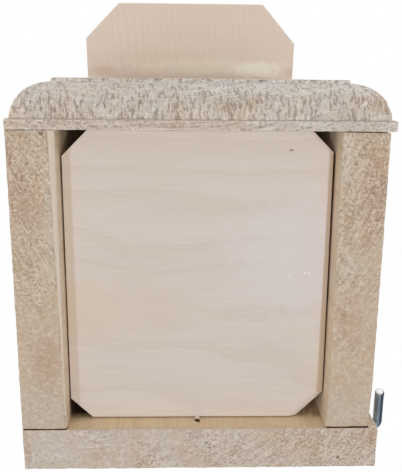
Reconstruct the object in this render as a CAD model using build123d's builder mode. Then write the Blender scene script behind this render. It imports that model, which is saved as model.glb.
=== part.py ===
# A nest box for bluebirds: six boards nailed together, one of them a side that swings out on two nails
# for cleaning, and a square-bend screw hook that keeps that side shut.
# Millimetres. +Z is up and the entrance faces -Y. The origin is on the rear face of the back board, at
# the middle of its bottom edge.
from build123d import *
import math
import os

os.makedirs("parts", exist_ok=True)


# Boards: the back and the roof are full stock width, the front is trimmed a little narrower, and the
# swinging side stands in from the back board's edge
stock_width = 139.7
board_thickness = 17.3
front_thickness = 17.8
front_trim = 1.5
front_height = 228.6
side_depth = 115.8
side_inset = 3.8
back_rise = 43.3
floor_recess = 9.5

# Roof, nailed on a little to the left of the front board's middle
roof_overhang = 47.5
roof_shift = 1.3
roof_slope = 6.6
roof_cut_across = 22.2
roof_cut_left_depth = 22.2
roof_cut_right_depth = 24.6

# Routed edge of the front board: a thin lip, a ledge and a quarter round; what is left of the board's
# thickness is a low shoulder
lip_thickness = 3.8
lip_ledge = 1.6
rout_radius = 12.7

# Drainage corners of the floor
floor_cut_front_left = 10.2
floor_cut_front_right = 8.4
floor_cut_back_left = 8.5
floor_cut_back_right = 10.6

# Entrance hole and the grooves inside below it, which fledglings climb
entrance_radius = 19.05
entrance_drop = 54.0
entrance_chamfer = 1.0
groove_count = 5
groove_width = 60.0
groove_height = 2.0
groove_depth = 1.6
groove_spacing = 12.0
groove_start = 12.0

# Gaps
floor_gap = 0.5
door_gap = 0.25
door_lift = 0.5
vent_gap = 6.4

# The two turned nails that the swinging side hangs on
pivot_drop = 25.4
pivot_radius = 1.5
pivot_head_radius = 2.1
pivot_head_height = 1.8
pivot_length = 50.8
pivot_point = 4.0
pivot_fit = 0.08

# Finish nails of flattened wire, with a small square head and a chisel point
nail_width = 1.6
nail_thickness = 1.4
nail_head_width = 2.9
nail_head_height = 1.0
nail_length = 44.5
nail_point = 2.5
nail_fit = 0.05

# How far nail heads are set below a face; the rounded edge of the front lies lower than its face
nail_set = 0.6
rounded_nail_set = 3.2
rounded_pivot_set = 2.6

# Where the nails go, as shares of the boards that they hold
side_nail_height_shares = (0.17, 0.52, 0.87)
floor_nail_width_shares = (0.25, 0.75)
floor_nail_depth_shares = (0.3, 0.7)
roof_nail_width_shares = (0.17, 0.5, 0.83)

# Square-bend screw hook
hook_radius = 1.8
hook_bend_radius = 2.6
hook_leg_offset = 5.05
hook_leg_reach = 15.6
hook_shank_depth = 18.0
hook_point_length = 4.0
hook_point_radius = 0.3
hook_height = 17.0
hook_end_chamfer = 0.35
hook_fit = 0.06

# Screw holes that hang the box on a post
mount_hole_radius = 3.2
mount_hole_drop = 22.0

# Places worked out from the sizes above
slope = math.radians(roof_slope)
front_width = stock_width - front_trim
front_inner = board_thickness + side_depth
front_outer = front_inner + front_thickness
left_outer = -stock_width / 2
left_inner = left_outer + board_thickness
door_inner = stock_width / 2 - side_inset - board_thickness
door_middle = door_inner + board_thickness / 2
cavity_width = door_inner - left_inner
front_middle = left_outer + front_width / 2
side_middle = left_outer + board_thickness / 2
floor_middle_height = floor_recess + board_thickness / 2
entrance_height = front_height - entrance_drop
roof_end_bottom = front_height + (side_depth + front_thickness) * math.tan(slope)
roof_end_thickness = board_thickness / math.cos(slope)
back_height = roof_end_bottom + roof_end_thickness + back_rise

# The underside of the roof: its origin is where it meets the front board's outer face, and its Y axis
# runs up the slope
roof_seat = Plane(
    origin=(0, -front_outer, front_height),
    x_dir=(1, 0, 0),
    z_dir=(0, -math.sin(slope), math.cos(slope)),
)
roof_top = roof_seat.offset(board_thickness)
side_top = roof_seat.offset(-vent_gap)

# The top of the swinging side at its front end, and the height of its axis below that
door_front_top = (
    front_height + (front_thickness + door_gap) * math.tan(slope) - vent_gap / math.cos(slope)
)
pivot_height = door_front_top - pivot_drop


def on_front(x, z):
    """A plane on the front board's outer face, facing out."""
    return Plane(origin=(x, -front_outer, z), z_dir=(0, -1, 0))


def on_back(x, z):
    """A plane on the back board's rear face, facing out."""
    return Plane(origin=(x, 0, z), z_dir=(0, 1, 0))


def on_left(y, z):
    """A plane on the fixed side's outer face, facing out."""
    return Plane(origin=(left_outer, y, z), z_dir=(-1, 0, 0))


def on_roof(x, along):
    """A plane on the roof's top face, facing out, at a distance up the slope from the front board."""
    return Plane(origin=roof_top.from_local_coords((x, along, 0)), z_dir=roof_top.z_dir)


def lengthwise(face):
    """A plane that a nail through a face lies in, with Y pointing out of the wood."""
    return Plane(origin=face.origin, x_dir=face.x_dir, z_dir=-face.y_dir)


def finish_nail_holes(faces, depth_set):
    """Cuts the slots for finish nails driven in at the given faces, with room for their heads."""
    for face in faces:
        with BuildSketch(lengthwise(face)) as slot:
            Rectangle(
                nail_head_width + 2 * nail_fit,
                depth_set + nail_head_height,
                align=(Align.CENTER, Align.MAX),
            )
            Rectangle(
                nail_width + 2 * nail_fit, depth_set + nail_length, align=(Align.CENTER, Align.MAX)
            )
        extrude(slot.sketch, amount=nail_thickness / 2 + nail_fit, both=True, mode=Mode.SUBTRACT)


def finish_nails(faces, depth_set):
    """A group of finish nails, each a flat outline of head, shank and chisel point made solid."""
    with BuildPart() as group:
        for face in faces:
            with BuildSketch(lengthwise(face.offset(-depth_set))):
                Rectangle(nail_head_width, nail_head_height, align=(Align.CENTER, Align.MAX))
                with BuildLine():
                    Polyline(
                        (-nail_width / 2, 0),
                        (-nail_width / 2, -nail_length + nail_point),
                        (0, -nail_length),
                        (nail_width / 2, -nail_length + nail_point),
                        (nail_width / 2, 0),
                        close=True,
                    )
                make_face()
            extrude(amount=nail_thickness / 2, both=True)
    return group


def pivot_nail_hole(face, depth_set, fit):
    """Cuts the round hole of a pivot nail driven in at a face, with room for its head."""
    with Locations(face):
        CounterBoreHole(
            radius=pivot_radius + fit,
            counter_bore_radius=pivot_head_radius + nail_fit,
            counter_bore_depth=depth_set + pivot_head_height,
            depth=depth_set + pivot_length,
        )


def pivot_nail(face, depth_set):
    """A round nail turned from the outline of its head, shank and point."""
    place = face.offset(-depth_set)
    with BuildPart() as nail:
        with BuildSketch(lengthwise(place)):
            with BuildLine():
                Polyline(
                    (0, 0),
                    (pivot_head_radius, 0),
                    (pivot_head_radius, -pivot_head_height),
                    (pivot_radius, -pivot_head_height),
                    (pivot_radius, -pivot_length + pivot_point),
                    (0, -pivot_length),
                    close=True,
                )
            make_face()
        revolve(axis=Axis(origin=place.origin, direction=place.z_dir))
    return nail


# Faces that the nails are driven in at
side_nail_heights = [front_height * share for share in side_nail_height_shares]
floor_nail_across = [left_inner + cavity_width * share for share in floor_nail_width_shares]
floor_nail_along = [-board_thickness - side_depth * share for share in floor_nail_depth_shares]
roof_nail_across = [left_outer + front_width * share for share in roof_nail_width_shares]
roof_end_middle = roof_end_bottom + roof_end_thickness / 2

front_to_side = [on_front(side_middle, z) for z in side_nail_heights]
back_to_side = [on_back(side_middle, z) for z in side_nail_heights]
front_to_floor = [on_front(x, floor_middle_height) for x in floor_nail_across]
back_to_floor = [on_back(x, floor_middle_height) for x in floor_nail_across]
side_to_floor = [on_left(y, floor_middle_height) for y in floor_nail_along]
roof_to_front = [on_roof(x, front_thickness / 2) for x in roof_nail_across]
back_to_roof = [on_back(x, roof_end_middle) for x in roof_nail_across]
front_pivot = on_front(door_middle, pivot_height)
back_pivot = on_back(door_middle, pivot_height)

# The right edge of the back board, where the screw hook goes in
hook_seat = Plane(origin=(stock_width / 2, -board_thickness / 2, hook_height), z_dir=(1, 0, 0))


# Back board, with two screw holes for a post; the lower one is in line with the entrance
with BuildPart() as back_board:
    with BuildSketch(Plane.XZ):
        Rectangle(stock_width, back_height, align=(Align.CENTER, Align.MIN))
    extrude(amount=board_thickness)
    with Locations(on_back(0, back_height - mount_hole_drop), on_back(0, entrance_height)):
        Hole(radius=mount_hole_radius, depth=board_thickness)
    with Locations(hook_seat):
        Hole(radius=hook_radius + hook_fit, depth=hook_shank_depth + hook_point_length)
    finish_nail_holes(back_to_side + back_to_floor + back_to_roof, nail_set)
    pivot_nail_hole(back_pivot, nail_set, nail_fit)

# Front board: the quarter-round block first, then the lip behind it and the flat field in front of it
with BuildPart() as front_board:
    with BuildSketch(Plane.XZ.offset(front_inner)):
        with Locations((left_outer + lip_ledge, lip_ledge)):
            Rectangle(front_width - 2 * lip_ledge, back_height, align=(Align.MIN, Align.MIN))
    extrude(amount=lip_thickness + rout_radius)
    face_edges = front_board.faces().sort_by(Axis.Y)[0].edges()
    fillet(face_edges.sort_by(Axis.Z)[:-1], radius=rout_radius)
    with BuildSketch(Plane.XZ.offset(front_inner)):
        with Locations((left_outer, 0)):
            Rectangle(front_width, back_height, align=(Align.MIN, Align.MIN))
    extrude(amount=lip_thickness)
    field_inset = lip_ledge + rout_radius
    with BuildSketch(Plane.XZ.offset(front_inner)):
        with Locations((left_outer + field_inset, field_inset)):
            Rectangle(front_width - 2 * field_inset, back_height, align=(Align.MIN, Align.MIN))
    extrude(amount=front_thickness)
    split(bisect_by=roof_seat, keep=Keep.BOTTOM)
    with Locations(on_front(front_middle, entrance_height)):
        Hole(radius=entrance_radius, depth=front_thickness)
    entrance_rims = front_board.edges().filter_by(GeomType.CIRCLE).sort_by(Edge.length)[-2:]
    chamfer(entrance_rims, length=entrance_chamfer)
    groove_middle = (
        entrance_height - entrance_radius - groove_start - (groove_count - 1) / 2 * groove_spacing
    )
    with BuildSketch(Plane.XZ.offset(front_inner)):
        with Locations((front_middle, groove_middle)):
            with GridLocations(0, groove_spacing, 1, groove_count):
                Rectangle(groove_width, groove_height)
    extrude(amount=groove_depth, mode=Mode.SUBTRACT)
    finish_nail_holes(front_to_side, rounded_nail_set)
    finish_nail_holes(front_to_floor + roof_to_front, nail_set)
    pivot_nail_hole(front_pivot, rounded_pivot_set, nail_fit)

# Left side board
with BuildPart() as fixed_side:
    with BuildSketch(Plane.YZ.offset(left_outer)):
        with Locations((-front_inner, 0)):
            Rectangle(side_depth, back_height, align=(Align.MIN, Align.MIN))
    extrude(amount=board_thickness)
    split(bisect_by=side_top, keep=Keep.BOTTOM)
    finish_nail_holes(front_to_side, rounded_nail_set)
    finish_nail_holes(back_to_side + side_to_floor, nail_set)

# Right side board, a little shorter each way so that it swings freely
with BuildPart() as swing_side:
    with BuildSketch(Plane.YZ.offset(door_inner)):
        with Locations((-front_inner + door_gap, door_lift)):
            Rectangle(side_depth - 2 * door_gap, back_height, align=(Align.MIN, Align.MIN))
    extrude(amount=board_thickness)
    split(bisect_by=side_top, keep=Keep.BOTTOM)
    pivot_nail_hole(front_pivot, rounded_pivot_set, pivot_fit)
    pivot_nail_hole(back_pivot, nail_set, pivot_fit)

# Floor, between the front and back boards, with its corners clipped for drainage
floor_left = left_inner + floor_gap
floor_right = door_inner - floor_gap
with BuildPart() as floor_panel:
    with BuildSketch(Plane.XY.offset(floor_recess)):
        with BuildLine():
            Polyline(
                (floor_left + floor_cut_front_left, -front_inner),
                (floor_right - floor_cut_front_right, -front_inner),
                (floor_right, -front_inner + floor_cut_front_right),
                (floor_right, -board_thickness - floor_cut_back_right),
                (floor_right - floor_cut_back_right, -board_thickness),
                (floor_left + floor_cut_back_left, -board_thickness),
                (floor_left, -board_thickness - floor_cut_back_left),
                (floor_left, -front_inner + floor_cut_front_left),
                close=True,
            )
        make_face()
    extrude(amount=board_thickness)
    finish_nail_holes(front_to_floor + back_to_floor + side_to_floor, nail_set)

# Roof, drawn on its slope and bevelled to stand against the back board
roof_left = front_middle - roof_shift - stock_width / 2
roof_right = roof_left + stock_width
roof_front = -roof_overhang / math.cos(slope)
roof_back = front_outer / math.cos(slope)
with BuildPart() as roof_board:
    with BuildSketch(roof_seat):
        with BuildLine():
            Polyline(
                (roof_left, roof_back),
                (roof_left, roof_front + roof_cut_left_depth),
                (roof_left + roof_cut_across, roof_front),
                (roof_right - roof_cut_across, roof_front),
                (roof_right, roof_front + roof_cut_right_depth),
                (roof_right, roof_back),
                close=True,
            )
        make_face()
    extrude(amount=board_thickness)
    split(bisect_by=Plane.XZ.offset(board_thickness), keep=Keep.TOP)
    finish_nail_holes(roof_to_front + back_to_roof, nail_set)

# Screw hook: a pointed shank in the back board's edge, a square bend, and a leg over the swinging side
shank_start = stock_width / 2 - hook_shank_depth
shank_y = -board_thickness / 2
leg_x = stock_width / 2 + hook_leg_offset
with BuildPart() as latch_hook:
    with BuildLine() as bent_rod:
        FilletPolyline(
            (shank_start, shank_y, hook_height),
            (leg_x, shank_y, hook_height),
            (leg_x, shank_y - hook_leg_reach, hook_height),
            radius=hook_bend_radius,
        )
    with BuildSketch(Plane(origin=(shank_start, shank_y, hook_height), z_dir=(1, 0, 0))):
        Circle(hook_radius)
    sweep()
    leg_end = latch_hook.edges().filter_by(GeomType.CIRCLE).sort_by(Axis.Y)[0]
    chamfer(leg_end, length=hook_end_chamfer)
    shank_face = Plane(origin=(shank_start, shank_y, hook_height), z_dir=(-1, 0, 0))
    with BuildSketch(shank_face):
        Circle(hook_radius)
    with BuildSketch(shank_face.offset(hook_point_length)):
        Circle(hook_point_radius)
    loft()

nodes = {
    "back_board": back_board,
    "front_board": front_board,
    "fixed_side": fixed_side,
    "swing_side": swing_side,
    "floor_panel": floor_panel,
    "roof_board": roof_board,
    "latch_hook": latch_hook,
    "pivot_nail_front": pivot_nail(front_pivot, rounded_pivot_set),
    "pivot_nail_back": pivot_nail(back_pivot, nail_set),
    "front_to_side_nails": finish_nails(front_to_side, rounded_nail_set),
    "back_to_side_nails": finish_nails(back_to_side, nail_set),
    "front_to_floor_nails": finish_nails(front_to_floor, nail_set),
    "back_to_floor_nails": finish_nails(back_to_floor, nail_set),
    "side_to_floor_nails": finish_nails(side_to_floor, nail_set),
    "roof_to_front_nails": finish_nails(roof_to_front, nail_set),
    "back_to_roof_nails": finish_nails(back_to_roof, nail_set),
}
for name, piece in nodes.items():
    piece.part.label = name
    export_step(piece.part, f"parts/{name}.step")
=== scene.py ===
import math

import bpy
import numpy as np
from mathutils import Matrix, Vector


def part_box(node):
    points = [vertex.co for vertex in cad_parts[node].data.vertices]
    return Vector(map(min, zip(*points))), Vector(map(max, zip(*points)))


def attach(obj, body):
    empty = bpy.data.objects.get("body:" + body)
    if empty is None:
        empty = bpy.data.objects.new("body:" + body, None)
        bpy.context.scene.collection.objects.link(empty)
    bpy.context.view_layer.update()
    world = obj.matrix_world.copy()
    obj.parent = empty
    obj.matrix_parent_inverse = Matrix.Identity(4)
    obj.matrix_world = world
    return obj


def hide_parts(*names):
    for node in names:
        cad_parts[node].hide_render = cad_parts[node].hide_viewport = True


# The looks of a bluebird nest box: six pine boards with rough sawn ends, a routed front, nails and a
# screw hook. Sizes here are in millimetres, in the model's own frame, and become metres in the meshes:
# +Z is up, the entrance faces -Y, and the swinging side is at +X.
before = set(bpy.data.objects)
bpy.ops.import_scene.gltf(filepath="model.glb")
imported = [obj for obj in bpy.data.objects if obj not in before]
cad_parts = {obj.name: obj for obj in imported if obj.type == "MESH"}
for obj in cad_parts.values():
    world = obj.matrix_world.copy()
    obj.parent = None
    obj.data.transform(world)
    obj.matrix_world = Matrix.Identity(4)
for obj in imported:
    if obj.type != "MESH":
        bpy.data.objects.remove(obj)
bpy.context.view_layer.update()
MM = 0.001

# Sizes that the boxes of the model's nodes don't tell
lip_thickness = 3.8
lip_ledge = 1.6
rout_radius = 12.7
entrance_radius = 19.05
entrance_drop = 54.0
entrance_chamfer = 1.0
groove_count = 5
groove_width = 60.0
groove_height = 2.0
groove_depth = 1.6
groove_spacing = 12.0
groove_start = 12.0
roof_slope = math.radians(6.6)
roof_cut_across = 22.2
roof_cut_left_depth = 22.2
roof_cut_right_depth = 24.6
floor_cuts_front = (10.2, 8.4)
floor_cuts_back = (8.5, 10.6)
mount_hole_radius = 3.2
mount_hole_drop = 22.0
hook_radius = 1.9
hook_bend_radius = 2.6
hook_leg_offset = 5.05
hook_leg_reach = 15.6
hook_shank_depth = 18.0
hook_point_length = 4.0
hook_height = 17.0
side_nail_height_shares = (0.17, 0.52, 0.87)
floor_nail_width_shares = (0.25, 0.75)
floor_nail_depth_shares = (0.3, 0.7)
roof_nail_width_shares = (0.17, 0.5, 0.83)

# The radius and depth of the dents over the finish nails, and the radius of those over the pivot nails
nail_dent = (1.7, 0.9)
pivot_dent_radius = 2.3

# How far an arris is worn round, and the place along it where its rounding is cut in two
arris = 0.35
arris_half_share = 0.41


def box(node):
    """The lowest and the highest corner of a node of the model, in millimetres."""
    low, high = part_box(node)
    return np.array(low) / MM, np.array(high) / MM


# Grids and surfaces

def graded(*stops):
    """Grid lines through stops that alternate with the step between them: 0, 0.5, 10, 2, 100."""
    runs = []
    for low, step, high in zip(stops[:-2:2], stops[1::2], stops[2::2]):
        count = max(1, round((high - low) / step))
        runs.append(np.linspace(low, high, count, endpoint=False))
    return np.append(np.concatenate(runs), stops[-1])


def worn(lines, radius=arris):
    """Grid lines whose two ends are closed up to carry a rounded arris."""
    low, high = lines[0], lines[-1]
    inner = lines[(lines > low + 1.6 * radius) & (lines < high - 1.6 * radius)]
    near = np.array([0, radius * arris_half_share, radius])
    return np.concatenate([low + near, inner, high - near[::-1]])


def closer(lines, centres, reach, step):
    """Grid lines with a finer step within a reach of each centre."""
    for centre in centres:
        low, high = centre - reach, centre + reach
        fine = graded(low, step, high)
        lines = np.concatenate([lines[lines < low - step / 2], fine, lines[lines > high + step / 2]])
    return lines


def block(xs, ys, zs, keep=None):
    """The skin of a block that three sets of grid lines cut into cells. A face is drawn wherever a kept
    cell meets one that isn't kept, or the outside, with its corners in order seen from the empty side.
    Gives the corners' numbers along each axis, and the faces."""
    count = (len(xs) - 1, len(ys) - 1, len(zs) - 1)
    cells = np.zeros((count[0] + 2, count[1] + 2, count[2] + 2), bool)
    middles = [(line[1:] + line[:-1]) / 2 for line in (xs, ys, zs)]
    kept = np.ones(count, bool) if keep is None else keep(*np.meshgrid(*middles, indexing="ij"))
    cells[1:-1, 1:-1, 1:-1] = kept
    number = np.arange(len(xs) * len(ys) * len(zs)).reshape(len(xs), len(ys), len(zs))
    faces = []
    for axis in range(3):
        solid = np.moveaxis(cells, axis, 0)[:, 1:-1, 1:-1]
        corner = np.moveaxis(number, axis, 0)
        ring = np.stack(
            [corner[:, :-1, :-1], corner[:, 1:, :-1], corner[:, 1:, 1:], corner[:, :-1, 1:]], axis=-1
        )
        if axis == 1:
            ring = ring[..., ::-1]
        faces.append(ring[solid[:-1] & ~solid[1:]])
        faces.append(ring[~solid[:-1] & solid[1:]][:, ::-1])
    used, quads = np.unique(np.concatenate(faces), return_inverse=True)
    places = np.stack(np.unravel_index(used, number.shape), axis=1)
    return places, quads.reshape(-1, 4)


def at(places, xs, ys, zs):
    """The points of a block's corners, from their numbers along each axis."""
    return np.stack([xs[places[:, 0]], ys[places[:, 1]], zs[places[:, 2]]], axis=1)


def rounded(points, low, high, radius=arris):
    """Points of a box's skin with its arrises rounded: what stands outside the box drawn in by the
    radius is pulled back to that distance from it."""
    core = np.clip(points, low + radius, high - radius)
    out = points - core
    length = np.linalg.norm(out, axis=1, keepdims=True)
    return core + out * np.where(length > radius, radius / np.maximum(length, radius), 1)


def outward(points, quads):
    """Each corner's outward direction: the sum of the cross products of its faces' diagonals, made one
    long."""
    cross = np.cross(points[quads[:, 2]] - points[quads[:, 0]], points[quads[:, 3]] - points[quads[:, 1]])
    total = np.stack(
        [np.bincount(quads.ravel(), np.repeat(cross[:, axis], 4), len(points)) for axis in range(3)], axis=1
    )
    return total / np.maximum(np.linalg.norm(total, axis=1, keepdims=True), 1e-9)


def smooth(value, low, high):
    """0 below low, 1 above high, and the smooth S of 3t^2 - 2t^3 between them. Low may be the larger."""
    share = np.clip((value - low) / (high - low), 0, 1)
    return share * share * (3 - 2 * share)


def cloud(points, size, seed):
    """Smooth noise from -1 to 1: random values at the corners of cells of a size, which may differ by
    axis, blended across each cell with smooth weights."""
    table = np.random.default_rng(seed).uniform(-1, 1, (32, 32, 32))
    place = points / np.asarray(size, float)
    cell = np.floor(place).astype(int)
    share = smooth(place - cell, 0, 1)
    total = np.zeros(len(points))
    for corner in np.ndindex(2, 2, 2):
        weight = np.prod(np.where(corner, share, 1 - share), axis=1)
        total += weight * table[tuple(((cell + corner) % 32).T)]
    return total


def dimple(points, centre, radius, depth, fall=1.0):
    """How far the wood is crushed in round a nail's head: the depth inside the radius, falling smoothly
    to nothing over the fall outside it."""
    distance = np.linalg.norm(points - centre, axis=1)
    return depth * smooth(distance, radius + fall, radius)


def onto_hole(points, near, centre, radius):
    """Moves the corners of a stepped hole along Y out or in to its true radius."""
    moved = points.copy()
    offset = points[near][:, [0, 2]] - centre
    distance = np.linalg.norm(offset, axis=1, keepdims=True)
    moved[np.ix_(near, [0, 2])] = centre + offset * radius[near, None] / distance
    return moved


def beside_hole(places, xs, zs, centre, radius):
    """Which corners of a block touch a cell that a hole along Y takes out."""
    middle_x, middle_z = (xs[1:] + xs[:-1]) / 2, (zs[1:] + zs[:-1]) / 2
    gone = np.zeros((len(xs) + 1, len(zs) + 1), bool)
    gone[1:-1, 1:-1] = np.hypot(middle_x[:, None] - centre[0], middle_z - centre[1]) < radius
    touch = gone[:-1, :-1] | gone[1:, :-1] | gone[:-1, 1:] | gone[1:, 1:]
    return touch[places[:, 0], places[:, 2]]


def made(name, points, faces, finish, body, replaced, attributes=None, sharp=False):
    """A piece of the object from points in millimetres and outward faces, riding on a body."""
    mesh = bpy.data.meshes.new(name)
    if isinstance(faces, np.ndarray):
        mesh.vertices.add(len(points))
        mesh.vertices.foreach_set("co", (points * MM).astype(np.float32).ravel())
        mesh.loops.add(faces.size)
        mesh.loops.foreach_set("vertex_index", faces.astype(np.int32).ravel())
        mesh.polygons.add(len(faces))
        mesh.polygons.foreach_set("loop_start", np.arange(0, faces.size, 4, dtype=np.int32))
        mesh.update(calc_edges=True)
    else:
        mesh.from_pydata((np.asarray(points) * MM).tolist(), [], faces)
    mesh.polygons.foreach_set("use_smooth", np.full(len(mesh.polygons), not sharp))
    for key, values in (attributes or {}).items():
        layer = mesh.attributes.new(key, "FLOAT", "POINT")
        layer.data.foreach_set("value", values.astype(np.float32))
    mesh.materials.append(finish)
    piece = bpy.data.objects.new(name, mesh)
    bpy.context.scene.collection.objects.link(piece)
    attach(piece, body)
    if replaced:
        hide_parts(*replaced)
    return piece


# Shader trees

class Wire:
    """An output of a shader node. Sums, differences, products and quotients of wires and numbers add
    Math nodes."""

    def __init__(self, tree, socket):
        self.tree = tree
        self.socket = socket

    def __add__(self, other):
        return self.tree.math("ADD", self, other)

    def __sub__(self, other):
        return self.tree.math("SUBTRACT", self, other)

    def __mul__(self, other):
        return self.tree.math("MULTIPLY", self, other)

    def __truediv__(self, other):
        return self.tree.math("DIVIDE", self, other)

    def __rsub__(self, other):
        return self.tree.math("SUBTRACT", other, self)

    __radd__ = __add__
    __rmul__ = __mul__


class Tree:
    """The shader tree of a new material, or of the world."""

    def __init__(self, owner):
        owner.use_nodes = True
        self.owner = owner
        self.nodes = owner.node_tree.nodes
        self.links = owner.node_tree.links
        self.nodes.clear()

    def add(self, kind, settings=None, sockets=None, out=0):
        """A node of any type, with its settings, the values or wires of its sockets, and one output."""
        node = self.nodes.new("ShaderNode" + kind)
        for key, value in (settings or {}).items():
            setattr(node, key, value)
        for key, value in (sockets or {}).items():
            if isinstance(value, Wire):
                self.links.new(value.socket, node.inputs[key])
            else:
                node.inputs[key].default_value = value
        return Wire(self, node.outputs[out]) if len(node.outputs) else None

    def math(self, operation, *values):
        return self.add("Math", {"operation": operation}, dict(enumerate(values)))

    def step(self, value, low, high):
        """A smooth step of a wire from 0 at low to 1 at high."""
        sockets = {"Value": value, "From Min": low, "From Max": high}
        return self.add("MapRange", {"interpolation_type": "SMOOTHSTEP"}, sockets)

    def mix(self, share, first, second, blend="MIX"):
        """A colour between two colours, by a share."""
        settings = {"data_type": "RGBA", "blend_type": blend}
        return self.add("Mix", settings, {0: share, 6: first, 7: second}, out=2)

    def vector(self, x, y, z):
        return self.add("CombineXYZ", None, {0: x, 1: y, 2: z})

    def noise(self, vector, detail=2.0, rough=0.5, curl=0.0):
        """Noise of a vector in cells about one long, from 0 to 1 round 0.5, and how far it curls."""
        sockets = {"Vector": vector, "Scale": 1.0, "Detail": detail, "Roughness": rough, "Distortion": curl}
        return self.add("TexNoise", None, sockets)

    def axes(self):
        """The three object coordinates, in millimetres."""
        place = self.add("TexCoord", out=3)
        parts = self.add("SeparateXYZ", None, {0: place}).socket.node
        return [Wire(self, parts.outputs[letter]) / MM for letter in "XYZ"]

    def attribute(self, name):
        """A number that the mesh carries at each corner."""
        return self.add("Attribute", {"attribute_name": name}, out=2)

    def spot(self, x, y, centre, reach, waver):
        """1 inside an oval across X and Y and 0 outside, with a soft edge that a wire makes waver."""
        across, along = (x - centre[0]) / reach[0], (y - centre[1]) / reach[1]
        distance = self.math("SQRT", across * across + along * along) + waver
        return self.step(distance, 1.3, 0.5)

    def tinted(self, base, red, green, blue):
        """A colour whose three parts are each made stronger or weaker by a wire."""
        return self.mix(1.0, base, self.vector(red, green, blue), "MULTIPLY")

    def shaded(self, base, shade):
        """A colour made lighter or darker by a wire."""
        return self.tinted(base, shade, shade, shade)


def colour(red, green, blue):
    """A colour as it is seen on a screen, from 0 to 255, made linear for a shader."""
    parts = [part / 255 for part in (red, green, blue)]
    return tuple(((part + 0.055) / 1.055) ** 2.4 if part > 0.04 else part / 12.92 for part in parts) + (1,)


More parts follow.
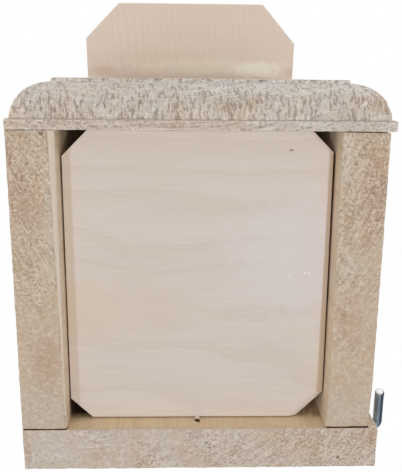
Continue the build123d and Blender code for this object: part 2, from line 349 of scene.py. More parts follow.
def wood(
    name, grain, pith, tones, end_tones, saw_centre,
    ring_contrast=0.5, fibre_contrast=0.07, spots=(), torn=False, rougher=(0.0, -0.0048, -0.42),
    fresher=0.0,
):
    """Pine in the solid. Growth rings are circles about the pith, which lies along the grain, bent by
    slow noise; fibres are noise drawn out along the grain; and the ends, by the mesh's end_grain
    attribute, have strokes of a saw blade along arcs, curled fuzz, pale flecks and dark pits. Tones are
    the early wood, the late wood and the tint of slow patches; end tones are the ground, the brown
    patches and the grey ones. Rougher is how much rougher the ends get for each millimetre along X and
    along Y, and at the origin. A spot is an oval across X and Y, its centre, reach, tint and strength,
    and shows on all that doesn't face up, by the mesh's up attribute. Fresher is how much brighter,
    warmer and more figured the wood is where it doesn't face down.
    The mesh's hollow attribute is over 0 where wood is torn out and where shade is painted into
    corners, joints, gaps, tears and pits, tan first and then dark brown, and under 0 where fibres
    stand up pale."""
    material = bpy.data.materials.new(name)
    tree = Tree(material)
    x, y, z = tree.axes()
    across, over, along = {"X": (y, z, x), "Y": (x, z, y), "Z": (x, y, z)}[grain]
    end = tree.attribute("end_grain")
    hollow = tree.attribute("hollow")
    up = tree.attribute("up")
    not_above = tree.step(up, 0.5, 0.2)
    fresh = (1 - tree.step(up, -0.35, -0.8)) * fresher

    def cells(width, length, *settings):
        """Noise in cells of a width across the grain and a length along it."""
        return tree.noise(tree.vector(across / width, over / width, along / length), *settings)

    def patches(size, shift_across, shift_over, *settings):
        """Noise in patches of a size across the grain, moved by a shift, that don't change along it."""
        place = tree.vector(across / size + shift_across, over / size + shift_over, 0.0)
        return tree.noise(place, *settings)

    slow = cells(40, 160)
    bend = cells(11, 60)
    across_pith, over_pith = across - pith[0], over - pith[1]
    from_pith = tree.math("SQRT", across_pith * across_pith + over_pith * over_pith)
    ring = tree.math("FRACT", (from_pith + slow * 16 + bend * 2.2) / 3.4)
    late = tree.step(ring, 0.35, 0.92) * (1 - tree.step(ring, 0.93, 1.0))
    fibre = cells(0.5, 22, 3.0, 0.6)
    hair = cells(0.22, 7)
    tint = cells(14, 45)
    long_side = tree.mix(late * (fresh * 12 + 1) * ring_contrast, tones[0], tones[1])
    long_side = tree.mix(tree.step(tint, 0.45, 0.75) * 0.6, long_side, tones[2])
    split = (tree.step(fibre, 0.3, 0.75) - 0.5) * fibre_contrast
    long_side = tree.shaded(long_side, split + (hair - 0.5) * 0.08 + 1)
    long_side = tree.tinted(long_side, fresh + 1, fresh * 0.95 + 1, fresh * 0.65 + 1)

    across_saw, over_saw = across - saw_centre[0], over - saw_centre[1]
    arc = tree.math("SQRT", across_saw * across_saw + over_saw * over_saw)
    turn = tree.math("ARCTAN2", over_saw, across_saw) * 127
    stroke = tree.step(tree.noise(tree.vector(arc, turn / 9, along / 3), 2.0, 0.6), 0.40, 0.60)
    gained = x * rougher[0] + y * rougher[1] + rougher[2]
    sawn_here = tree.step(patches(17, 0, 2.7) + gained * 0.7, 0.36, 0.60)
    fuzz = tree.step(cells(1.8, 1.8, 3.0, 0.7, 0.4), 0.40, 0.60)
    fleck = tree.noise(tree.vector(across + 9, over, along), 1.0, 0.6, 0.2)
    rough_here = tree.step(patches(15, 0, 8.4, 2.0, 0.6) + gained, 0.34, 0.6)
    ragged = tree.attribute("ragged")
    calm = 1 - ragged * 0.65
    # The pale flecks are partly paler fibre tips and partly painted glints; the pits are coloured dark as
    # painted shade in them.
    pale = tree.step(fleck, 0.54, 0.66) * (rough_here * 0.75 + 0.25) * calm
    pit = tree.step(fleck, 0.43, 0.30) * (rough_here * 0.55 + 0.2) * calm
    brown = patches(13, 3.3, 0, 3.0, 0.6)
    grey = patches(9, 0, 5.1, 3.0, 0.6)
    sawn = tree.mix(tree.step(brown, 0.46, 0.68), end_tones[0], end_tones[1])
    sawn = tree.mix(tree.step(grey, 0.5, 0.68) * 0.8, sawn, end_tones[2])
    waver = (tree.noise(tree.vector(x / 5, y / 5, z / 40), 3.0, 0.6) - 0.5) * 1.4
    for centre, reach, tone, strength in spots:
        edge = waver if max(reach) > 3 else waver * 0.3
        inside = tree.spot(x, y, centre, reach, edge) * not_above * strength
        sawn = tree.mix(inside, sawn, tone)
        if grain != "Z":
            long_side = tree.mix(inside, long_side, tone)
    swing = ((stroke - 0.5) * sawn_here * 0.28 + (fuzz - 0.5) * 0.15) * calm
    sawn = tree.tinted(sawn, swing * 0.85 + 1, swing + 1, swing * 1.2 + 1)
    sawn = tree.mix(pale * 0.7, sawn, fleck_pale)
    sawn = tree.mix(pit * 0.65, sawn, fleck_dark)

    height = (fibre * 0.05 + hair * 0.03 + late * 0.03) * (1 - end)
    height = height + end * (stroke * sawn_here * 0.14 + fuzz * 0.16 + pale * 0.10 - pit * 0.16)
    if torn:
        sway = tree.noise(tree.vector(x / 5, z / 3, y / 3)) * 2.4
        flame = tree.noise(tree.vector((x + sway) / 0.85, y / 3.2, z / 3.2), 2.0, 0.6)
        # The torn gaps are coloured brown as painted shade in them; the tips are paler torn fibres.
        gap = tree.step(flame, 0.55, 0.64) * ragged
        tip = tree.step(flame, 0.47, 0.38) * ragged
        sawn = tree.mix(gap * 0.65, sawn, gap_brown)
        sawn = tree.mix(tip * 0.75, sawn, tuft_cream)
        height = height - gap * 0.30 + tip * 0.20
    base = tree.mix(end, long_side, sawn)
    # Tan and then dark brown by the hollow attribute: mostly painted shade in corners, joints, gaps, tears
    # and pits; the tan is also the planed strips and nicks.
    base = tree.mix(tree.step(hollow, 0.05, 0.45) * 0.85, base, tan_tone_and_painted_shade)
    base = tree.mix(tree.step(hollow, 0.3, 1.2), base, painted_shade_brown)
    base = tree.mix(tree.step(hollow, -0.05, -1.0) * 0.85, base, splinter_pale)
    base = tree.mix(tree.step(hollow, -1.1, -1.5), base, splinter_bright)
    bump = tree.add("Bump", None, {"Strength": 1.0, "Distance": MM, "Height": height})
    roughness = 0.62 + (fibre - 0.5) * 0.2 + end * 0.2
    shader = tree.add(
        "BsdfPrincipled", None, {"Base Color": base, "Roughness": roughness, "Normal": bump}
    )
    tree.add("OutputMaterial", None, {"Surface": shader})
    return material


def metal(name, ground, tarnish_and_shade_colour, roughness, cut=None):
    """Plated or bare steel with soft tarnished patches, and streaks along Y that are partly drawing
    marks and partly painted reflection bands. A cut is the middle of a bright cut end that faces along
    Y, its radius, and its colour; the bar behind it is then coloured dark on its right: painted shade."""
    material = bpy.data.materials.new(name)
    tree = Tree(material)
    x, y, z = tree.axes()
    patch = tree.noise(tree.vector(x / 1.6, y / 5, z / 1.6), 3.0, 0.6)
    # Streaks along Y that shade the colour: partly drawing marks, partly painted reflection bands round the
    # bar.
    drawn = tree.noise(tree.vector(x / 0.25, y / 6, z / 0.25))
    tarnish_and_painted_shade = tree.step(patch, 0.40, 0.72) * 0.6
    # Painted shade: with a cut, the bar's right side takes the dark tone fully.
    if cut:
        tarnish_and_painted_shade = tree.math("MAXIMUM", tarnish_and_painted_shade, tree.step(x, cut[0][0] - 0.9, cut[0][0] + 0.9))
    base = tree.mix(tarnish_and_painted_shade, ground, tarnish_and_shade_colour)
    base = tree.shaded(base, (drawn - 0.5) * 0.5 + 1)
    shine = roughness + (patch - 0.5) * 0.3 + (drawn - 0.5) * 0.1
    if cut:
        middle, radius, bright = cut
        off_x, off_z = x - middle[0], z - middle[2]
        off = tree.math("SQRT", off_x * off_x + off_z * off_z)
        bare = tree.step(y, middle[1] + 0.9, middle[1] + 0.7) * tree.step(off, radius + 0.08, radius - 0.08)
        base = tree.mix(bare, base, bright)
        shine = shine + bare * 0.2
    bump = tree.add("Bump", None, {"Strength": 0.5, "Distance": MM, "Height": drawn * 0.05 + patch * 0.05})
    shader = tree.add(
        "BsdfPrincipled", None, {"Base Color": base, "Metallic": 0.9, "Roughness": shine, "Normal": bump}
    )
    tree.add("OutputMaterial", None, {"Surface": shader})
    return material


# Places on the boards, from the model's boxes
back_low, back_high = box("back_board")
front_low, front_high = box("front_board")
left_low, left_high = box("fixed_side")
door_low, door_high = box("swing_side")
floor_low, floor_high = box("floor_panel")
roof_low, roof_high = box("roof_board")

board_thickness = back_high[1] - back_low[1]
front_thickness = front_high[1] - front_low[1]
front_outer, front_inner = front_low[1], front_high[1]
front_middle = (front_low[0] + front_high[0]) / 2
front_height = front_high[2] - front_thickness * math.tan(roof_slope)
entrance_height = front_height - entrance_drop
side_nail_heights = [front_height * share for share in side_nail_height_shares]
side_middle = (left_low[0] + left_high[0]) / 2
door_middle = (door_low[0] + door_high[0]) / 2
floor_middle_height = (floor_low[2] + floor_high[2]) / 2
floor_nail_across = [
    left_high[0] + (door_low[0] - left_high[0]) * share for share in floor_nail_width_shares
]
floor_nail_along = [
    left_high[1] + (left_low[1] - left_high[1]) * share for share in floor_nail_depth_shares
]
roof_nail_across = [
    front_low[0] + (front_high[0] - front_low[0]) * share for share in roof_nail_width_shares
]
roof_end_middle = roof_high[2] - board_thickness / math.cos(roof_slope) / 2
pivot_low, pivot_high = box("pivot_nail_front")
pivot_height = (pivot_low[2] + pivot_high[2]) / 2


def end_grain(direction, axis):
    """How far a surface faces along the grain, as a share that the wood shows as end grain."""
    return smooth(np.abs(direction[:, axis]), 0.35, 0.8)


def sawn_relief(points, seed):
    """The unevenness of a sawn board in millimetres: slow waves, and near its lower end a finer fuzz."""
    near_end = smooth(points[:, 2], 7, 4)
    fuzz = 0.07 * cloud(points, 2.2, seed + 1) + 0.09 * cloud(points, 1.2, seed + 2)
    return 0.08 * cloud(points, (9, 9, 30), seed) + near_end * fuzz


def eased(points, low, high, front_width, back_width, rise):
    """Planes off a board's lower right edge along Y: within a width of the edge, which changes evenly
    from the front end to the back, the underside climbs towards the edge. Gives the moved points, and
    how far each lies within that strip."""
    share = np.clip((points[:, 1] - low[1]) / (high[1] - low[1]), 0, 1)
    width = front_width + share * (back_width - front_width)
    within = np.clip(width - (high[0] - points[:, 0]), 0, None)
    moved = points.copy()
    moved[:, 2] += rise * within * np.clip(1 - (points[:, 2] - low[2]) / 6, 0, 1)
    return moved, np.clip(within / 0.4, 0, 1) * (points[:, 2] < low[2] + 0.3)


def skewed(points, low, high, front, back):
    """Moves a board's left and right faces along X by a little at its front end and at its back end,
    and evenly between: a board that isn't quite true."""
    to_back = np.clip((points[:, 1] - low[1]) / (high[1] - low[1]), 0, 1)
    to_right = np.clip((points[:, 0] - low[0]) / (high[0] - low[0]), 0, 1)
    left = front[0] + to_back * (back[0] - front[0])
    right = front[1] + to_back * (back[1] - front[1])
    moved = points.copy()
    moved[:, 0] += left + to_right * (right - left)
    return moved


def finished(name, points, quads, axis, finish, body, relief, hollow=None, ragged=None, planed=0):
    """A board whose skin is pushed in by its relief, in millimetres, and which knows its end grain,
    how far it faces up, where it is torn, how ragged it is, and where planing has left no end grain."""
    direction = outward(points, quads)
    points = points - direction * relief[:, None]
    attributes = {
        "end_grain": end_grain(direction, axis) * (1 - planed),
        "hollow": np.zeros(len(points)) if hollow is None else hollow,
        "up": direction[:, 2],
    }
    if ragged is not None:
        attributes["ragged"] = ragged
        attributes["end_grain"] = np.maximum(attributes["end_grain"], np.minimum(ragged * 3, 1))
    return made(name, points, quads, finish, body, [name.replace("_wood", "")], attributes)


# Boards

def back_board(finish):
    """The back board: a block with two round screw holes and dents over its nails. Low on its inner
    face it has a torn nail hole, dark in its pit as painted shade, with splinters round it, a pale lower
    and right edge, and painted shade in the corners beside the floor and the joints behind the sides."""
    torn_x, torn_z, torn_radius = -1.6, 7.0, 1.6
    xs = closer(worn(graded(back_low[0], 0.75, back_high[0])), [torn_x], 3.0, 0.3)
    ys = worn(graded(back_low[1], 0.6, back_high[1]))
    zs = closer(worn(graded(0.0, 0.6, 11.0, 6.0, back_high[2])), [torn_z], 2.7, 0.3)
    holes = [np.array([0.0, entrance_height]), np.array([0.0, back_high[2] - mount_hole_drop])]
    zs = closer(zs, [hole[1] for hole in holes], 4.5, 0.6)
    zs = closer(zs, side_nail_heights + [floor_middle_height, roof_end_middle], 3.0, 0.7)

    def keep(x, y, z):
        kept = np.ones(x.shape, bool)
        for hole in holes:
            kept &= np.hypot(x - hole[0], z - hole[1]) > mount_hole_radius
        return kept

    places, quads = block(xs, ys, zs, keep)
    points = rounded(at(places, xs, ys, zs), back_low, back_high)
    for hole in holes:
        near = beside_hole(places, xs, zs, hole, mount_hole_radius)
        points = onto_hole(points, near, hole, np.full(len(points), mount_hole_radius))
    relief = 0.12 + sawn_relief(points, 11)
    nails = [(side_middle, z) for z in side_nail_heights]
    nails += [(x, floor_middle_height) for x in floor_nail_across]
    nails += [(x, roof_end_middle) for x in roof_nail_across]
    for x, z in nails:
        relief += dimple(points, (x, back_high[1], z), *nail_dent)
    relief += dimple(points, (door_middle, back_high[1], pivot_height), pivot_dent_radius, 1.0)
    distance = np.hypot(1.3 * (points[:, 0] - torn_x), points[:, 2] - torn_z) + 0.5 * cloud(points, 0.8, 15)
    inner_face = points[:, 1] < back_low[1] + 0.1
    torn_out = inner_face * smooth(distance, torn_radius, torn_radius - 0.3)
    splinter = inner_face * smooth(distance, torn_radius, torn_radius + 0.2)
    spread = np.hypot(1.1 * (points[:, 0] - torn_x), 0.6 * (points[:, 2] - torn_z))
    splinter *= smooth(spread, 2.0, 1.6) * smooth(cloud(points, (0.6, 9, 1.6), 16), -0.5, 0.0)
    relief += 1.8 * torn_out - 0.5 * splinter
    # The torn pit is coloured dark brown by its hollow value: painted shade in the hole; the splinters round
    # it are pale.
    hollow = 2.2 * torn_out - 1.8 * splinter
    x, z = points[:, 0], points[:, 2]
    streak = cloud(points, (0.7, 9, 2.6), 17)
    edge = smooth(z + 0.7 * cloud(points, (1.1, 9, 9), 18), 1.6, 0.3)
    hollow -= inner_face * (0.75 * edge + 1.1 * smooth(x, 66.3, 67.2)) * (1 - torn_out)
    # Painted shade: dark brown in the corners beside the floor, and along the lower edge where the sides
    # meet the board.
    left_corner = smooth(x, left_high[0] + 12, left_high[0] + 7) * smooth(x, left_high[0] - 1, left_high[0])
    right_corner = smooth(x, door_low[0] - 13, door_low[0] - 8) * smooth(x, door_low[0] + 1, door_low[0])
    painted_shade = smooth(z, 7, 15) * smooth(z, 30, 26) * (1.15 + 0.2 * streak) * left_corner
    painted_shade += smooth(z, 7, 11.5) * smooth(z, 30, 26) * (0.4 + 0.3 * streak) * right_corner
    behind = smooth(np.abs(x - side_middle), board_thickness / 2 + 0.3, board_thickness / 2 - 0.3)
    behind += smooth(np.abs(x - door_middle - 0.5), board_thickness / 2 + 0.3, board_thickness / 2 - 0.3)
    hollow = hollow * (1 - behind) + inner_face * (painted_shade + 1.3 * behind * smooth(z, 3.0, 2.0))
    return finished("back_board_wood", points, quads, 2, finish, "box", relief, hollow)


def side_board(name, low, high, body, finish, seed, nails, strip=(0, 0), back_gap=0.0, skew=None):
    """A side board: a block whose top follows the slope of the roof. A strip of the inner lower edge is
    planed off, from one width at the front to another at the back, and at its lower end the board
    stands a gap off the back board, or closer to it if the gap is under 0, with painted shade along
    the joint. A board with a strip has painted shade in the corner beside the floor. One with a skew
    is tan inside, has painted shade where the floor's edge hides it, and bends in by a square of the
    way along its lower rear end."""
    xs = worn(graded(low[0], 0.45, high[0]))
    ys = worn(graded(low[1], 0.45, high[1]))
    zs = worn(graded(low[2], 0.6, low[2] + 6, 1.2, low[2] + 18, 6.0, high[2]))
    zs = closer(zs, [z for _, z in nails], 3.0, 0.7)
    places, quads = block(xs, ys, zs)
    points = rounded(at(places, xs, ys, zs), low, high)
    top = high[2] - (high[1] - points[:, 1]) * math.tan(roof_slope)
    points[:, 2] = low[2] + (points[:, 2] - low[2]) * (top - low[2]) / (high[2] - low[2])
    relief = 0.10 + sawn_relief(points, seed)
    for y, z in nails:
        relief += dimple(points, (low[0], y, z), *nail_dent)
    points, planed = eased(points, low, high, *strip, 0.6)
    relief *= 1 - 0.8 * planed
    # Painted shade: the rear end's lower edge is coloured dark where it meets the back board.
    joint = smooth(points[:, 1], high[1] - 0.5, high[1] - 0.15) * smooth(points[:, 2], 3, 1)
    points[:, 1] -= back_gap * smooth(points[:, 1], high[1] - 4, high[1]) * smooth(points[:, 2], 12, 6)
    if skew:
        points = skewed(points, low, high, *skew)
        bend = np.clip((points[:, 1] - high[1] + 20) / 20, 0, 1) ** 2
        points[:, 0] -= 0.8 * bend * smooth(points[:, 2], 60, 20)
    hollow = 1.3 * joint - 0.8 * planed
    if strip[0]:
        relief += 0.7 * smooth(planed, 0, 0.1) * smooth(planed, 0.9, 0.5)
        # Painted shade in the corner beside the floor and the back board.
        in_corner = smooth(points[:, 2], 7, 13) * smooth(points[:, 2], 30, 26)
        in_corner *= smooth(points[:, 1], high[1] - 12, high[1] - 7) * (points[:, 0] > high[0] - 0.3)
        hollow += 1.1 * in_corner
    if skew:
        # Painted shade: a dark strip low on the inner face, where the floor's edge hides it, beside the gap
        # to the floor.
        z, inside = points[:, 2] - floor_low[2], points[:, 0] < low[0] + 2
        hidden = smooth(points[:, 1], floor_low[1] + 8, floor_low[1] + 10)
        hidden *= smooth(points[:, 1], floor_high[1] - 8, floor_high[1] - 11)
        hidden *= smooth(z, 0.0, 1.2) * smooth(z, 6, 4)
        hollow += inside * (0.1 * smooth(z, 0.5, -0.5) + 0.6 * hidden)
    return finished(name, points, quads, 2, finish, body, relief, hollow, planed=0.8 * planed)


def front_profile(distance):
    """The front board's thickness at a distance in from its left, right or bottom edge: the lip, then a
    quarter round that starts upright at the ledge, then the flat field a low shoulder above it."""
    field = lip_ledge + rout_radius
    share = np.clip((field - distance) / rout_radius, 0, 1)
    quarter = lip_thickness + rout_radius * np.sqrt(1 - share**2)
    lip = lip_thickness - 0.25 * smooth(distance, 0.3, 0)
    shoulder = front_thickness - 0.2 * smooth(distance, field + 0.45, field + 0.02)
    return np.where(distance <= lip_ledge, lip, np.where(distance <= field + 0.001, quarter, shoulder))


def front_board(finish):
    """The front board: a block whose thickness follows the routed edge's profile, with the round
    entrance, and grooves across its inner face below it. Its depth is measured towards -Y, which turns
    the faces inside out, so their corners are put in the other order. Along the bottom the router has
    torn the end grain into short gaps and tufts, most of all near the lip; the gaps, and the nick along
    the shoulder, also carry a tan tint, painted shade in them."""
    field = lip_ledge + rout_radius
    turns = np.linspace(0, math.pi / 2, 33)
    edge = np.concatenate(
        [
            [0, 0.15, 0.35, 0.9, 1.45],
            field - rout_radius * np.cos(turns),
            [field + 0.02, field + 0.2, field + 0.5],
        ]
    )
    middle = graded(front_low[0] + field + 1.0, 0.45, front_high[0] - field - 1.0)
    xs = np.concatenate([front_low[0] + edge, middle, front_high[0] - edge[::-1]])
    zs = graded(field + 1.0, 7.0, front_high[2])
    zs = closer(zs, side_nail_heights + [floor_middle_height + 0.2], 2.6, 0.7)
    zs = closer(zs, [entrance_height], entrance_radius + 1.2, 1.3)
    zs = np.concatenate([edge, zs])
    depths = [0, entrance_chamfer, groove_depth, 4, 7.5, 11, 14.5, front_thickness - entrance_chamfer]
    ys = np.array(depths + [front_thickness]) / front_thickness
    hole = np.array([front_middle, entrance_height])
    first_groove = entrance_height - entrance_radius - groove_start
    grooves = [first_groove - count * groove_spacing for count in range(groove_count)]
    for groove in grooves:
        zs = closer(zs, [groove], groove_height / 2, groove_height / 2)

    def keep(x, y, z):
        kept = np.hypot(x - hole[0], z - hole[1]) > entrance_radius
        for groove in grooves:
            inside = (np.abs(x - front_middle) < groove_width / 2) & (np.abs(z - groove) < groove_height / 2)
            kept &= ~(inside & (y < groove_depth / front_thickness))
        return kept

    places, quads = block(xs, ys, zs, keep)
    x, share, z = at(places, xs, ys, zs).T
    distance = np.minimum(np.minimum(x - front_low[0], front_high[0] - x), z)
    top = front_high[2] - share * front_thickness * math.tan(roof_slope)
    lift = smooth(z, front_high[2] - 12, front_high[2])
    z = z + lift * (top - front_high[2])
    points = np.stack([x, front_inner - share * front_profile(distance), z], axis=1)
    quads = quads[:, ::-1]
    flare = entrance_chamfer * ((share < 0.01) | (share > 0.99))
    near = beside_hole(places, xs, zs, hole, entrance_radius)
    points = onto_hole(points, near, hole, entrance_radius + flare)
    climb = (front_inner - lip_thickness - points[:, 1]) / rout_radius
    band = smooth(z, field + 0.6, field - 0.4) * smooth(z, lip_ledge - 0.2, lip_ledge + 0.1) * (share > 0.5)
    corner = np.minimum(x - front_low[0], front_high[0] - x)
    band *= smooth(corner - z, -6, 2)
    thick = 0.75 + 0.25 * cloud(points, (11, 5, 5), 6) * 2
    ragged = band * np.clip(smooth(climb, 0.95, 0.45) * thick + 0.12, 0, 1)
    lean = points + np.array([1.5, 0, 0]) * cloud(points, (5, 4, 4), 5)[:, None]
    tuft = cloud(lean, (0.95, 3.0, 3.0), 3) + 0.5 * cloud(lean, (0.6, 1.7, 1.7), 4)
    gap = smooth(tuft, 0.2, 0.8) * ragged
    stand = smooth(tuft, -0.1, -0.6) * ragged
    relief = 0.08 + sawn_relief(points, 21) * (1 - 0.6 * band) + 0.42 * gap - 0.25 * stand
    relief *= smooth(np.abs(distance - field), 0, 0.25) * 0.5 + 0.5
    nick = smooth(cloud(points, (0.6, 2, 1.2), 7), 0.0, 0.5) * smooth(np.abs(distance - field), 0.6, 0.1)
    relief += 0.3 * nick * (share > 0.5)
    for height in side_nail_heights:
        surface = front_inner - front_profile(side_middle - front_low[0])
        relief += dimple(points, (side_middle, surface, height), *nail_dent)
    pivot_surface = front_inner - front_profile(front_high[0] - door_middle)
    relief += dimple(points, (door_middle, pivot_surface, pivot_height), pivot_dent_radius, 1.15)
    for across in floor_nail_across:
        relief += dimple(points, (across, front_outer, floor_middle_height), 1.5, 0.55, 0.5)
    # The hollow values colour the torn gaps and the nick along the shoulder tan: painted shade in them.
    return finished(
        "front_board_wood", points, quads, 2, finish, "box", relief,
        0.24 * gap - 0.3 * stand + 0.2 * nick, np.maximum(ragged, 0.8 * band),
    )


def clipped(points, low, high, front_cuts, back_cuts):
    """Squeezes a box's points along X so that its four upright corners are cut off: at each place along
    Y the left and right ends are where the cuts leave them."""
    y = points[:, 1]
    left_front, right_front = front_cuts
    left_back, right_back = back_cuts

    def cut(front, back):
        amount = np.zeros(len(y))
        for (across, deep), distance in ((front, y - low[1]), (back, high[1] - y)):
            if deep:
                amount = np.maximum(amount, across * np.clip(1 - distance / deep, 0, 1))
        return amount

    start = low[0] + cut(left_front, left_back)
    end = high[0] - cut(right_front, right_back)
    share = (points[:, 0] - low[0]) / (high[0] - low[0])
    moved = points.copy()
    moved[:, 0] = start + share * (end - start)
    return moved


def floor_panel(finish):
    """The floor: a planed block with its corners clipped for drainage and its lower right edge planed
    off, its left and right edge faces coloured dark as painted shade. Its right side isn't quite true,
    its rear edge is a hair short, and it sits a hair lower there."""
    low, high = floor_low, floor_high
    edge_width = 3.2
    xs = closer(worn(graded(low[0], 0.8, high[0]), 0.2), [high[0] - edge_width + 1.0], 1.6, 0.4)
    ys = graded(low[1], 0.8, high[1])
    ys = worn(closer(ys, [low[1] + cut for cut in floor_cuts_front], 0.9, 0.45), 0.2)
    ys = closer(ys, [high[1] - cut for cut in floor_cuts_back], 0.9, 0.45)
    zs = worn(graded(low[2], 1.0, high[2]), 0.2)
    places, quads = block(xs, ys, zs)
    points = rounded(at(places, xs, ys, zs), low, high, 0.2)
    points, planed = eased(points, low, high, 1.4, edge_width, 0.3)
    front_cut, back_cut = low[1] + floor_cuts_front[1], high[1] - floor_cuts_back[1]
    planed *= smooth(points[:, 1], back_cut + 0.5, back_cut - 0.5)
    planed *= smooth(points[:, 1], front_cut - 0.5, front_cut + 0.5)
    # Painted shade: the left and right edge faces are coloured dark where they face the gaps beside the
    # sides, lightly at the front left.
    beside = (points[:, 0] < low[0] + 0.1) | (points[:, 0] > high[0] - 0.1)
    deep = points[:, 2] - low[2]
    painted_shade = beside * smooth(deep, 0.6, 1.6) * smooth(deep, 8, 5)
    painted_shade *= np.where(points[:, 0] < 0, 0.25 + 0.75 * smooth(points[:, 1], -75, -35), 1)
    points = clipped(
        points, low, high,
        [(cut, cut) for cut in floor_cuts_front],
        [(cut, cut) for cut in floor_cuts_back],
    )
    to_right = (points[:, 0] - low[0]) / (high[0] - low[0])
    to_back = (points[:, 1] - low[1]) / (high[1] - low[1])
    points = skewed(points, low, high, (0.0, 0.1), (-0.1, 1.0))
    points[:, 1] -= (0.5 - 0.2 * to_right) * to_back**8
    points[:, 2] -= 0.5 * to_back
    relief = 0.03 + 0.02 * cloud(points, (60, 4, 9), 31) + 0.015 * cloud(points, (20, 1.2, 5), 32)
    hollow = 0.3 * planed + 0.8 * painted_shade
    return finished("floor_panel_wood", points, quads, 0, finish, "box", relief, hollow)


def roof_board(finish):
    """The roof: a planed board on a slope, clipped at its front corners and upright at its back end. It
    is made flat, its back end slanted by the slope's tangent, and then tipped up."""
    slope = roof_slope
    run = (roof_high[1] - roof_low[1] - board_thickness * math.sin(slope)) / math.cos(slope)
    low = np.array([roof_low[0], 0.0, 0.0])
    high = np.array([roof_high[0], run, board_thickness])
    xs = worn(graded(low[0], 1.0, high[0]))
    ys = worn(graded(0.0, 1.0, 50.0, 2.0, high[1]))
    ys = closer(ys, [roof_cut_left_depth, roof_cut_right_depth], 0.9, 0.45)
    zs = worn(graded(0.0, 1.1, board_thickness))
    places, quads = block(xs, ys, zs)
    points = rounded(at(places, xs, ys, zs), low, high)
    points = clipped(
        points, low, high,
        [(roof_cut_across, roof_cut_left_depth), (roof_cut_across, roof_cut_right_depth)],
        [(0, 0), (0, 0)],
    )
    relief = 0.04 + 0.04 * cloud(points, (6, 60, 9), 41) + 0.02 * cloud(points, (1.5, 25, 5), 42)
    along, rise = points[:, 1].copy(), points[:, 2].copy()
    along *= 1 + rise * math.tan(slope) / run
    start = roof_low[1] + board_thickness * math.sin(slope)
    points[:, 1] = start + along * math.cos(slope) - rise * math.sin(slope)
    points[:, 2] = roof_low[2] + along * math.sin(slope) + rise * math.cos(slope)
    return finished("roof_board_wood", points, quads, 1, finish, "box", relief)


# Screw hook

def tube(name, centres, radii, slant, finish, body, replaced):
    """A bar of round section: rings of points about the line of centres, turned so that they stay
    square to it without twisting, each with its own radii, closed by a fan at each end. A ring with a
    slant leans: its upper side is that much further along than its middle, for each unit of height."""
    count = radii.shape[1]
    tangent = np.gradient(centres, axis=0)
    tangent /= np.linalg.norm(tangent, axis=1, keepdims=True)
    up = np.array([0.0, 0.0, 1.0])
    side = np.cross(tangent, up)
    side /= np.linalg.norm(side, axis=1, keepdims=True)
    above = np.cross(side, tangent)
    angle = np.linspace(0, 2 * math.pi, count, endpoint=False)
    across, over = radii * np.cos(angle), radii * np.sin(angle)
    rings = centres[:, None] + across[..., None] * side[:, None] + over[..., None] * above[:, None]
    rings += (over * slant[:, None])[..., None] * tangent[:, None]
    points = np.concatenate([rings.reshape(-1, 3), centres[:1], centres[-1:]])
    ring, spoke = np.meshgrid(np.arange(len(centres) - 1), np.arange(count), indexing="ij")
    after = (spoke + 1) % count
    quads = np.stack(
        [ring * count + spoke, ring * count + after, (ring + 1) * count + after, (ring + 1) * count + spoke],
        axis=-1,
    ).reshape(-1, 4)
    last = (len(centres) - 1) * count
    one = np.arange(count)
    following = (one + 1) % count
    first_pole, last_pole = np.full(count, len(points) - 2), np.full(count, len(points) - 1)
    faces = quads[:, ::-1].tolist()
    faces += np.stack([first_pole, one, following], axis=1).tolist()
    faces += np.stack([last_pole, last + following, last + one], axis=1).tolist()
    return made(name, points, faces, finish, body, replaced)


def screw_hook(finish):
    """The hook: a pointed shank with a thread in the wood, a square bend of a quarter circle, and a leg
    with a cut end. The thread is a ridge whose height is a triangle wave of the turn less the way
    along."""
    pitch, thread = 1.7, 0.32
    edge = back_high[0]
    shank_y = (back_low[1] + back_high[1]) / 2
    leg_x = edge + hook_leg_offset
    shank = np.arange(edge - hook_shank_depth - hook_point_length, leg_x - hook_bend_radius, 0.22)
    turn = np.linspace(0, math.pi / 2, 11)
    bend_x = leg_x - hook_bend_radius + hook_bend_radius * np.sin(turn)
    bend_y = shank_y - hook_bend_radius + hook_bend_radius * np.cos(turn)
    end = shank_y - hook_leg_reach
    leg = np.linspace(bend_y[-1], end + 0.6, 9)[1:]
    tip = end + np.array([0.35, 0.12, 0.0, 0.0])
    x = np.concatenate([shank, bend_x, np.full(len(leg) + len(tip), leg_x)])
    y = np.concatenate([np.full(len(shank), shank_y), bend_y, leg, tip])
    centres = np.stack([x, y, np.full(len(x), hook_height)], axis=1)
    count = 28
    angle = np.linspace(0, 1, count, endpoint=False)
    taper = np.clip((x - shank[0]) / hook_point_length, 0.08, 1)
    radii = np.tile((hook_radius * taper)[:, None], count)
    wave = np.abs(((angle[None] - x[:, None] / pitch) % 1) * 2 - 1)
    cut = smooth(x, edge - 1.0, edge - 2.2)[:, None]
    radii -= thread * (1 - wave) * cut * taper[:, None]
    radii[-4:] = hook_radius - np.array([0.0, 0.1, 0.35, 1.75])[:, None]
    centres[-1, 1] = end - 0.001
    slant = np.zeros(len(x))
    slant[-5:] = 0.33
    centres[-5:, 0] += 0.12
    return tube("screw_hook", centres, radii, slant, finish, "latch", ["latch_hook"])


